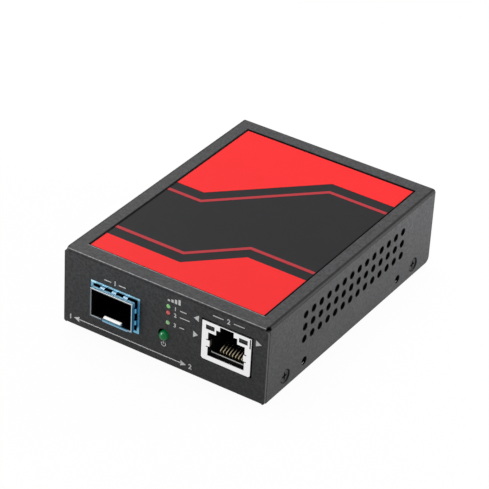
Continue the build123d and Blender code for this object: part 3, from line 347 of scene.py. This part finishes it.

# %% [markdown]
# ## The module slot
# The tongue is painted white, scatters light and glows: a painted highlight. The rest of the cage
# mirrors its surroundings, and some reflections are painted: the lower lip beside the tongue takes the
# steel blue of the ring, the left and lower left edges take the table's grey, and behind the thin front
# edge is painted shade. The ring and the collar round the cage are painted brightest along the top and
# towards the mouth, a painted reflection of the sky; the collar has painted shade at its left and lower
# left.

# %% Steel of the cage
cage_low, cage_high = (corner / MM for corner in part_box("sfp_cage"))
cage_face = cage_low.y
slot_x = (cage_low.x + cage_high.x) / 2
table_reflection = tone((0.06, 0.06, 0.065))
cage, shade = plated_sheet(
    "cage_steel", (0.80, 0.82, 0.84), 0.3, dark_from=cage_face + 0.25, fade=0.25
)
x, y, z = (cage.axis(letter) for letter in "XYZ")
# Painted highlight: the tongue is white, scatters light and glows
tongue = x.within(slot_x - 3.0, slot_x + 3.0) * y.fall(cage_face + 1.3, cage_face + 1.6)
tongue = tongue * z.fall(cage_low.z + 0.9, cage_low.z + 1.1)
tongue = tongue * y.ramp(cage_face + 0.35, cage_face + 0.45)
# Painted reflection of the table on the left edge
left = x.fall(cage_low.x + 0.3, cage_low.x + 0.4)
rim = x.fall(cage_low.x + 0.16, cage_low.x + 0.22)
shade = cage.mix(left * (0.52 + 0.41 * rim), shade, table_reflection)
# Painted shade behind the thin front edge
above = z.ramp(cage_low.z + 0.3, cage_low.z + 0.4)
inner = (1 - left) * x.fall(cage_high.x - 0.14, cage_high.x - 0.08)
inner = inner * z.fall(cage_high.z - 0.11, cage_high.z - 0.06)
shade = cage.mix(0.88 * (above * inner), shade, tone((0.015, 0.015, 0.017)))
# Painted reflection of the table along the lower edge
rim = z.fall(cage_low.z + 0.14, cage_low.z + 0.2)
shade = cage.mix((1 - above) * (0.2 + 0.7 * rim), shade, table_reflection)
# Painted reflection of the ring's steel blue on the lower lip
lip = x.within(slot_x - 2.9, slot_x + 6.0, 0.1) * z.fall(cage_low.z + 0.38, cage_low.z + 0.46)
lip = lip * y.fall(cage_face + 0.35, cage_face + 0.45)
shade = cage.mix(lip, shade, tone((0.085, 0.23, 0.34)))
cage.feed("Base Color", cage.mix(tongue, shade, tone((0.97, 0.97, 0.96))))
cage.feed("Metallic", 1 - tongue)
cage.glow(tongue, tone((1.0, 1.0, 0.98)), 0.6)
print("middle of the slot at", round(slot_x, 2), "mm across")

# %% Ring and collar round the slot
for name, node, bright, dim, roughness in (
    ("frame_bright", "slot_frame", (0.20, 0.42, 0.58), (0.13, 0.38, 0.56), 0.26),
    ("spring_steel", "sfp_springs", (0.36, 0.52, 0.64), (0.12, 0.34, 0.49), 0.24),
):
    sheet, shade = plated_sheet(name, bright, roughness, (1.0, 1.0, 1.0), 0.25)
    x, y, z = (sheet.axis(letter) for letter in "XYZ")
    slot_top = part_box(node)[1].z / MM
    # Painted reflection: the plated colour near the top and low down, a dimmer copy between
    high = z.ramp(slot_top - 2.2, slot_top - 1.1)
    low = z.fall(under + 7.5, under + 8.4)
    shade = sheet.mix(high + 0.5 * low, tone(dim), shade)
    # Painted highlight along the crest: a pale band on the ring, the collar's crest towards the mouth
    crest = z.ramp(slot_top - 0.66, slot_top - 0.56)
    if node == "slot_frame":
        shade = sheet.mix(crest, shade, tone((0.50, 0.82, 0.96)))
    else:
        mouth = y.fall(cage_face + 0.1, cage_face + 1.1, "LINEAR") * crest
        shade = sheet.mix(0.8 * mouth, shade, tone((0.85, 0.95, 1.0)))
        # Painted shade at the collar's left and beneath the cage
        left = x.fall(cage_low.x - 0.04, cage_low.x)
        beneath = x.fall(slot_x - 3.0, slot_x - 2.9) * z.fall(cage_low.z - 0.1, cage_low.z)
        shade = sheet.mix(0.9 * left.larger(beneath), shade, tone((0.05, 0.05, 0.052)))
    sheet.feed("Base Color", shade)
print("plated finishes so far:", len(finishes))

# %% Threads: painted dark as shade, but for one painted highlight low on their rim, where a crest catches the light
cut, shade = plated_sheet("thread_dark", (0.012, 0.012, 0.013), 0.3)
glint = cut.axis("Z").fall(under + 2.8, under + 2.87)
glint = glint * cut.axis("X").apply("ABSOLUTE").ramp(flank - 0.6, flank - 0.5)
cut.feed("Base Color", cut.mix(glint, shade, tone((0.6, 0.6, 0.6))))
cut.feed("Metallic", glint)
cut.shader.inputs["Specular IOR Level"].default_value = 0.0
print("metal and paint finishes:", len(finishes))

# %% [markdown]
# ## Moulded, printed and coated pieces
# Mouldings copy the spark-eroded skin of their tool: a fine, even grit with a little gloss. Film
# and print are smoother, yet never one flat colour. A shared recipe takes the colour, the size of
# the grit and how deep it is, and is used for everything that isn't bare metal.

# %% Moulded and printed finishes
def moulded(name, colour, roughness, grit_mm=0.12, depth_mm=0.006, contrast=0.15, **constants):
    """Grit tints the colour up and down by contrast and raises the skin by depth_mm."""
    constants = {"Specular_IOR_Level": 0.2, **constants}
    skin = Finish(name, **constants)
    grit = skin.noise(grit_mm)
    cloud = skin.noise(6.0, 3.0)
    level = 0.5 * grit + 0.5 * cloud
    shade = skin.mix(level, tone(colour, 1 - contrast), tone(colour, 1 + contrast))
    skin.feed("Base Color", shade)
    skin.feed("Roughness", roughness - 0.06 + 0.12 * grit)
    skin.emboss(grit, depth_mm, 0.5)
    finishes[name] = skin
    return skin, shade


moulded("foot_rubber", (0.016, 0.016, 0.017), 0.85, 0.3, 0.03)
moulded("amber_film", (0.35, 0.17, 0.03), 0.3, 0.4, 0.002)
moulded("chip_black", (0.016, 0.016, 0.017), 0.6, 0.06, 0.004)
moulded("choke_grey", (0.11, 0.11, 0.115), 0.7, 0.15, 0.02)
moulded("pad_grey", (0.30, 0.32, 0.34), 0.8)
moulded("dip_blue", (0.02, 0.055, 0.24), 0.4)
moulded("lever_white", (0.8, 0.8, 0.77), 0.42)
moulded("print_white", (0.86, 0.86, 0.87), 0.6, 0.07, 0.004, 0.14)
moulded("screw_black", (0.013, 0.013, 0.014), 0.35, 0.08, 0.004, 0.3, Metallic=0.6)

# The socket's black block has a sill with a painted highlight and a glow: a line of light behind the
# mouth
block, shade = moulded("black_moulding", (0.006, 0.006, 0.0065), 0.5, Specular_IOR_Level=0.12)
sill = block.axis("Y").within(jack_face + 1.95, jack_face + 2.2)
sill = sill * block.axis("Z").within(under + 9.4, under + 9.9)
sill_tone = tone((0.60, 0.60, 0.58))
block.feed("Base Color", block.mix(sill, shade, sill_tone))
block.glow(sill, sill_tone, 0.4)
print("finishes with the mouldings:", len(finishes))

# %% [markdown]
# ## Dark ground and two reds on the label
# The film's cut edge lies in the shade of the recess, so a hair's breadth along it is painted black, a
# painted shade, on all sides but the front one. The broad fields are a full red, and the stripes beside
# them are the same ink printed over the dark ground, a little deeper. The fields' slanted edge is
# level, then climbs at 45 degrees, then level again: a clamped straight line. What lies between the two
# edges is the stripes' ground.

# %% Printed red
# Start along the label, turn across it, and jog, in millimetres from the front left corner
REAR_FIELD = (44.0, 10.0, 28.0)
FRONT_FIELD = (8.0, 26.0, 14.0)
RIM_SHADE = 0.26


def shaded_rim(film, shade):
    """Painted shade: black where the side or the rear edge of the label is nearer than RIM_SHADE."""
    side = film.axis("X").apply("ABSOLUTE")
    side = side.ramp(label_high.x - RIM_SHADE, label_high.x - RIM_SHADE + 0.06)
    back = film.axis("Y").ramp(label_high.y - RIM_SHADE, label_high.y - RIM_SHADE + 0.06)
    return film.mix(side.larger(back), shade, tone((0.001, 0.001, 0.001)))


def label_ink(name, colour, contrast):
    """Matt film or print: one recipe for the ground and the red."""
    return moulded(name, colour, 0.55, 0.2, 0.003, contrast, Specular_IOR_Level=0.06)


ground, shade = label_ink("label_dark", (0.025, 0.025, 0.0264), 0.16)
ground.feed("Base Color", shaded_rim(ground, shade))
red, shade = label_ink("label_red", (0.98, 0.036, 0.038), 0.05)
x, y = red.axis("X"), red.axis("Y")


def edge_line(start, turn, jog):
    """start plus jog times a clamped straight rise from turn to turn plus jog."""
    rise = (x - (label_low.x + turn)).ramp(0.0, jog, "LINEAR")
    return label_low.y + start + jog * rise


between = (edge_line(*REAR_FIELD) - y).ramp(1.8, 2.2) * (y - edge_line(*FRONT_FIELD)).ramp(1.8, 2.2)
two_reds = red.mix(between, shade, tone((0.50, 0.050, 0.060)))
red.feed("Base Color", shaded_rim(red, two_reds))
print("finishes with the label:", len(finishes))

# %% [markdown]
# ## Lamps
# The small lamps are milky light pipes and the power lamp is a tinted dome. They are lit in the
# picture only weakly, so most of their colour is the plastic's own, with a trace of glow. A clear
# coat gives the wet highlight of polished lens plastic without making the colour itself shiny. A
# window shines as one small round spot at the upper left of the dome.

# %% Lamp finishes
def lens(name, colour, glow, roughness=0.25, coat=0.3):
    """Grainy plastic under a clear coat, with a constant glow of the same colour."""
    clear = {"Coat_Weight": coat, "Coat_Roughness": 0.08}
    dome, shade = moulded(name, colour, roughness, 0.2, 0.002, 0.12, **clear)
    dome.shader.inputs["Emission Color"].default_value = tone(colour)
    dome.shader.inputs["Emission Strength"].default_value = glow
    return dome, shade


POWER_COLOUR = (0.002, 0.192, 0.049)
POWER_GLOW = 0.2
lens("lamp_green", (0.206, 0.482, 0.186), 0.455)
lens("lamp_red", (0.535, 0.089, 0.082), 0.42)
lens("lamp_pale", (0.226, 0.416, 0.201), 0.42)
lens("lens_grey", (0.02, 0.021, 0.0225), 0.0, 0.2, 0.1)
power, shade = lens("power_green", POWER_COLOUR, POWER_GLOW, 0.12, 0.04)
dome_low, dome_high = (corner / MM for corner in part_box("power_lamp"))
# Painted highlight: a small round spot at the upper left of the dome, lighter and glowing, stands for a
# window's reflection
aside = power.axis("X") - ((dome_low.x + dome_high.x) / 2 - 0.25)
aloft = power.axis("Z") - ((dome_low.z + dome_high.z) / 2 + 1.0)
spot = (aside * aside + aloft * aloft).fall(0.03, 0.09)
power.feed("Base Color", power.mix(spot, shade, tone((0.25, 0.55, 0.38))))
power.glow(spot, tone((0.7, 1.0, 0.9)), POWER_GLOW, tone(POWER_COLOUR))
print("finishes with the lamps:", len(finishes))

# %% [markdown]
# ## The circuit board
# Only slivers of the board show through the vents, but they should read as a board: green mask over
# a grid of copper tracks. Bricks in two scales make lines that start and stop like tracks, and the
# mask stands up a little over each of them.

# %% Board finish
board = Finish("board_green", Roughness=0.35)
bricks = {"Scale": 120.0, "Mortar Size": 0.035, "Brick Width": 0.9, "Row Height": 0.12}
lanes = board.node(
    "ShaderNodeTexBrick", {"offset": 0.37, "squash": 0.6}, {"Vector": board.place, **bricks}, "Fac"
)
# Painted shade: both greens are far darker than a real mask, for the shade inside the box
board.feed("Base Color", board.mix(lanes, tone((0.002, 0.02, 0.008)), tone((0.008, 0.045, 0.017))))
board.emboss(lanes, 0.03, 0.6)
finishes["board_green"] = board

# %% Each node takes the finish of its slot
slot_of = {part["node"]: part["material_slot"] for part in frame["record"]["subparts"]}
for name, piece in frame["nodes"].items():
    piece.data.materials.clear()
    piece.data.materials.append(finishes[slot_of[name]].material)
print("nodes dressed:", len(slot_of), "finishes:", len(finishes))

# %% [markdown]
# ## Thin prints from outlines
# Marks on the panel are screen-printed ink a few hundredths of a millimetre thick. Each is a flat
# outline in the panel's own two directions, given a back, a front and a wall. The same function
# serves the front and the rear panel: only the three directions change.

# %% From a flat outline to ink on a panel
INK = 0.02


def panel_frame(side):
    """Rows that turn across, up and outward into X, Y and Z for the front (-1) or the rear (1)."""
    return np.array([[-side, 0, 0], [0, 0, 1], [0, side, 0]], float)


def add_mesh(name, points, faces, finish):
    """Points in millimetres and faces become a piece that rides on the case."""
    mesh = bpy.data.meshes.new(name)
    mesh.from_pydata((np.asarray(points) * MM).tolist(), [], faces)
    mesh.materials.append(finishes[finish].material)
    mesh.update()
    piece = bpy.data.objects.new(name, mesh)
    bpy.context.scene.collection.objects.link(piece)
    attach(piece, "case")
    return piece


def on_panel(flat, side):
    """Flat points (across, up, outward) moved onto the outside of the front or rear panel."""
    plane = rear if side > 0 else front
    return flat @ panel_frame(side) + np.array([0, plane, 0])


def ink(name, outlines, side=-1):
    """Each outline, counter-clockwise seen from outside, becomes a closed slab INK thick."""
    points = []
    faces = []
    for outline in outlines:
        edge = np.asarray(outline, float)
        count = len(edge)
        start = sum(len(part) for part in points)
        lower = np.c_[edge, np.zeros(count)]
        upper = np.c_[edge, np.full(count, INK)]
        points.append(np.r_[lower, upper])
        ring = np.arange(count)
        after = (ring + 1) % count
        walls = np.c_[ring, after, after + count, ring + count] + start
        faces += walls.tolist()
        faces.append((ring[::-1] + start).tolist())
        faces.append((ring + count + start).tolist())
    return add_mesh(name, on_panel(np.concatenate(points), side), faces, "print_white")


def bar(x, z, width, height=0.3):
    """A rectangle from its lower left corner."""
    return [(x, z), (x + width, z), (x + width, z + height), (x, z + height)]


print("ink is", INK, "mm thick")

# %% [markdown]
# ## Arrows and rules
# Three small triangles stand beside the socket, and a long rule with an arrowhead at each end joins
# the two ports. Thin rules flank the numbers and tie them to the lamps, and four bars of growing
# height stand over the lamps. Their corners are plain numbers read off the panel in millimetres,
# across from its middle and up from the table.

# %% Arrows
arrows = ink(
    "panel_arrows",
    [
        [(10.3, 21.56), (12.0, 20.73), (12.0, 22.87)],
        [(10.3, 14.92), (11.95, 16.12), (10.3, 17.08)],
        [(31.15, 20.61), (33.07, 21.51), (31.15, 22.59)],
    ],
)
print("arrows:", len(arrows.data.polygons), "faces")

# %% Rules and signal bars
RULES = [
    (-20.8, 21.65, 2.4), (-15.7, 21.65, 2.4),
    (16.6, 24.75, 3.6), (23.6, 24.75, 3.6),
    (1.3, 23.6, 0.8, 0.6), (2.5, 23.6, 0.8, 1.0), (3.7, 23.6, 0.8, 1.4), (4.9, 23.6, 0.8, 1.8),
    (5.6, 21.6, 2.2), (5.6, 19.4, 3.4), (5.6, 16.0, 1.6),
    (-29.6, 4.15, 36.2),
]
rules = ink("panel_rules", [bar(*rule) for rule in RULES])
heads = [[(-31.4, 4.3), (-29.4, 3.4), (-29.4, 5.2)], [(8.4, 4.3), (6.4, 5.2), (6.4, 3.4)]]
ink("panel_link", heads)
print("rules:", len(rules.data.polygons), "faces")

# %% [markdown]
# ## Ring with a bar: the sign for power
# The power lamp has the common standby sign under it, and the inlet at the rear its polarity sign.
# A ring with a gap is an outline that runs out along one radius and back along the other, so no
# boolean cut is needed.

# %% Power sign and polarity sign
def arc_outline(x, z, inner, outer, start, stop, steps=28):
    """Out along the outer radius from start to stop degrees, and back along the inner one."""
    angle = np.radians(np.linspace(start, stop, steps))
    out = np.c_[x + outer * np.cos(angle), z + outer * np.sin(angle)]
    back = np.c_[x + inner * np.cos(angle), z + inner * np.sin(angle)]
    return np.r_[out, back[::-1]]


sign = ink("power_sign", [arc_outline(0.4, 8.3, 0.62, 0.85, 125, 415), bar(0.285, 8.4, 0.23, 0.95)])
inlet = ((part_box("inlet_pin")[0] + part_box("inlet_pin")[1]) / 2) / MM
marks = [arc_outline(-inlet.x, 6.6, 0.75, 0.95, 40, 320), arc_outline(-inlet.x, 6.6, 0.0, 0.35, 0, 350)]
for aside, width in ((-3.6, 2.7), (0.35, 3.2), (-4.9, 0.9), (3.9, 0.9)):
    marks.append(bar(-inlet.x + aside, 6.5, width, 0.2))
marks.append(bar(-inlet.x + 4.25, 6.15, 0.2, 0.9))
polarity = ink("polarity_sign", marks, 1)
print("power sign and polarity sign:", len(sign.data.vertices) + len(polarity.data.vertices), "points")

# %% [markdown]
# ## Numbers
# Ports, lamps and switch levers are numbered. Blender's text objects already hold good digit
# shapes, so each number is typed once, turned into a mesh, and its points are carried onto the
# panel with the same three directions as the ink above.

# %% Numbers
CAP_SHARE = 0.7  # a digit's height as a share of the type size
PORT_DIGIT, LAMP_DIGIT, LEVER_DIGIT = 1.6, 1.25, 1.3


def number(name, text, x, z, height, side=-1):
    """A digit of the given height in millimetres, centred across on x and standing on z."""
    curve = bpy.data.curves.new(name, "FONT")
    curve.body = text
    curve.size = height / CAP_SHARE
    curve.align_x = "CENTER"
    curve.resolution_u = 3
    curve.extrude = INK / 2
    curve.offset = 0.05
    typed = bpy.data.objects.new(name, curve)
    bpy.context.scene.collection.objects.link(typed)
    graph = bpy.context.evaluated_depsgraph_get()
    mesh = bpy.data.meshes.new_from_object(typed.evaluated_get(graph))
    flat = np.empty(len(mesh.vertices) * 3)
    mesh.vertices.foreach_get("co", flat)
    flat = flat.reshape(-1, 3) + np.array([x, z, INK / 2])
    faces = [list(face.vertices) for face in mesh.polygons]
    bpy.data.objects.remove(typed)
    return add_mesh(name, on_panel(flat, side), faces, "print_white")


number("number_slot", "1", -17.0, 21.1, PORT_DIGIT)
number("number_socket", "2", 21.9, 24.1, PORT_DIGIT)
number("number_link_1", "1", -32.6, 3.5, PORT_DIGIT)
number("number_link_2", "2", 9.7, 3.5, PORT_DIGIT)
for index, height in enumerate((21.2, 19.0, 15.6)):
    number(f"number_lamp_{index + 1}", str(index + 1), 4.0, height, LAMP_DIGIT)
for index in range(4):
    lever = ((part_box(f"dip_lever_{index + 1}")[0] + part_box(f"dip_lever_{index + 1}")[1]) / 2) / MM
    number(f"number_lever_{index + 1}", str(index + 1), -lever.x, 15.3, LEVER_DIGIT, 1)
print("numbers: 4 at the ports, 3 at the lamps, 4 at the levers")

# %% [markdown]
# ## Threads in the tapped holes
# The bracket holes low on each flank are tapped, and a painted highlight stands for a crest of their
# thread catching the light.
# A thread is one small ridge carried along a helix: the angle turns while the depth grows, and at
# each step the same three-point profile is placed square to the wall.

# %% A ridge along a helix
def thread(name, centre, outward, radius, pitch=0.5, length=2.0, ridge=0.11, steps=160):
    """At turn t the depth is t pitches over a full turn. The ridge's feet are at radius, most of a
    pitch apart, and its crest is ridge nearer the axis."""
    foot, half = radius + 0.03, 0.42 * pitch
    turn = np.linspace(0, 2 * np.pi * length / pitch, steps)
    depth = -turn * pitch / (2 * np.pi)
    profile = np.array([[foot, -half], [radius - ridge, 0.0], [foot, half]])
    reach = profile[None, :, 0]
    along = depth[:, None] - 0.45 * pitch + profile[None, :, 1]
    circle = np.stack([reach * np.cos(turn)[:, None], reach * np.sin(turn)[:, None]], -1)
    points = np.stack([along * outward, circle[..., 0], circle[..., 1]], -1).reshape(-1, 3)
    step = np.arange(steps - 1)[:, None] * 3
    side = np.array([0, 1, 2])[None, :]
    other = (side + 1) % 3
    quads = np.stack([step + side, step + other, step + other + 3, step + side + 3], -1).reshape(-1, 4)
    last = (steps - 1) * 3
    ends = [[0, 1, 2], [last + 2, last + 1, last]]
    if outward > 0:
        quads = quads[:, ::-1]
    else:
        ends = [end[::-1] for end in ends]
    return add_mesh(name, points + np.array(centre), quads.tolist() + ends, "thread_dark")


for index, inset in enumerate(BRACKET_INSETS):
    y, z = front + inset, under + BRACKET_RISE
    thread(f"thread_right_{index + 1}", (flank, y, z), 1, BRACKET_RADIUS)
    thread(f"thread_left_{index + 1}", (-flank, y, z), -1, BRACKET_RADIUS)
print("threads:", 2 * len(BRACKET_INSETS))

# %% [markdown]
# ## Table, light and camera
# The box stands on a plain pale table that runs out of the picture. A broad lamp above, one beside
# the vents and two small ones at the front and the rear join an even surrounding, at a level where
# a colour renders about as it is written. Rays that the camera or a mirror-like surface sends into
# the distance meet plain white.

# %% Floor
floor = Finish("floor_pale", Roughness=0.9, Specular_IOR_Level=0.1)
cloud = floor.noise(90.0)
SEEN_RAYS = ("Is Camera Ray", "Is Glossy Ray", "Is Transmission Ray")
by_camera, mirrored, through = (floor.node("ShaderNodeLightPath", {}, {}, kind) for kind in SEEN_RAYS)
seen = by_camera.larger(mirrored).larger(through)
pale = floor.mix(cloud, tone((0.91, 0.91, 0.91)), tone((0.94, 0.94, 0.94)))
floor.feed("Base Color", floor.mix(seen, tone((0.5, 0.5, 0.5)), pale))
glow = floor.node("ShaderNodeEmission", {}, {"Strength": 1.0})
lit = Signal(floor, floor.shader.outputs[0])
blend = floor.node("ShaderNodeMixShader", {}, {0: 0.96 * seen, 1: lit, 2: glow})
outlet = next(node for node in floor.tree.nodes if node.type == "OUTPUT_MATERIAL")
floor.tree.links.new(blend.socket, outlet.inputs["Surface"])
ground = bpy.data.meshes.new("floor")
half, level = 3.0, -0.00004
corners = [(-half, -half, level), (half, -half, level), (half, half, level), (-half, half, level)]
ground.from_pydata(corners, [], [(0, 1, 2, 3)])
ground.materials.append(floor.material)
table = bpy.data.objects.new("floor", ground)
bpy.context.scene.collection.objects.link(table)
print("floor:", 2 * half, "m wide")

# %% World
scene = bpy.context.scene
scene.view_settings.view_transform = "Standard"
world = bpy.data.worlds.new("studio")
world.use_nodes = True
scene.world = world
sky = world.node_tree
sky.nodes.clear()


def sky_node(kind, inputs, operation=None):
    """Add a node to the world, give each input a value or a link, and return its outputs."""
    made = sky.nodes.new(kind)
    if operation:
        made.operation = operation
    for socket, value in inputs.items():
        if isinstance(value, float):
            made.inputs[socket].default_value = value
        else:
            sky.links.new(value, made.inputs[socket])
    return made.outputs


rays = sky_node("ShaderNodeLightPath", {})
seen = rays[SEEN_RAYS[0]]
for kind in SEEN_RAYS[1:]:
    seen = sky_node("ShaderNodeMath", {0: seen, 1: rays[kind]}, "MAXIMUM")[0]
surround = sky_node("ShaderNodeBackground", {"Strength": 0.235})
white = sky_node("ShaderNodeBackground", {"Strength": 1.0})
choice = sky_node("ShaderNodeMixShader", {0: seen, 1: surround[0], 2: white[0]})
sky_node("ShaderNodeOutputWorld", {"Surface": choice[0]})
print("world nodes:", len(sky.nodes))

# %% Lamps
AIM = Vector((0, 0, 0.015))


def softbox(name, place, size, watts):
    """A square lamp that faces the middle of the box."""
    lamp = bpy.data.lights.new(name, "AREA")
    lamp.size = size
    lamp.energy = watts
    holder = bpy.data.objects.new(name, lamp)
    facing = (Vector(place) - AIM).to_track_quat("Z", "Y").to_matrix().to_4x4()
    holder.matrix_world = Matrix.Translation(place) @ facing
    scene.collection.objects.link(holder)


softbox("side_lamp", (0.26, 0.21, 0.07), 0.1, 1.13)
softbox("top_lamp", (-0.2, 0.1, 1.0), 0.8, 7.2)
softbox("rear_lamp", (-0.22, 0.15, 0.13), 0.06, 0.12)
softbox("front_lamp", (-0.13, -0.16, 0.045), 0.06, 0.085)
print("lamps placed:", len(bpy.data.lights))

# %% [markdown]
# ## Camera
# The viewpoint was solved from the corners of the case in the picture: a long lens, about three
# quarters of a metre away, looking down at a third of a right angle. Its three directions are
# written as columns: right, up and back.

# %% Camera
right = Vector((0.835260, 0.547706, 0.048568))
down = Vector((0.330017, -0.428704, -0.841012))
ahead = Vector((-0.439806, 0.718492, -0.538831))
viewpoint = Vector((310.692, -511.652, 401.275)) * MM
camera = bpy.data.cameras.new("camera")
camera.sensor_width = 36.0
camera.lens = 175.85
camera.clip_start = 0.01
viewer = bpy.data.objects.new("camera", camera)
turn = Matrix((right, -down, -ahead)).transposed().to_4x4()
viewer.matrix_world = Matrix.Translation(viewpoint) @ turn
scene.collection.objects.link(viewer)
scene.camera = viewer
print("camera is", round(viewpoint.length, 3), "m from the point under the middle of the box")
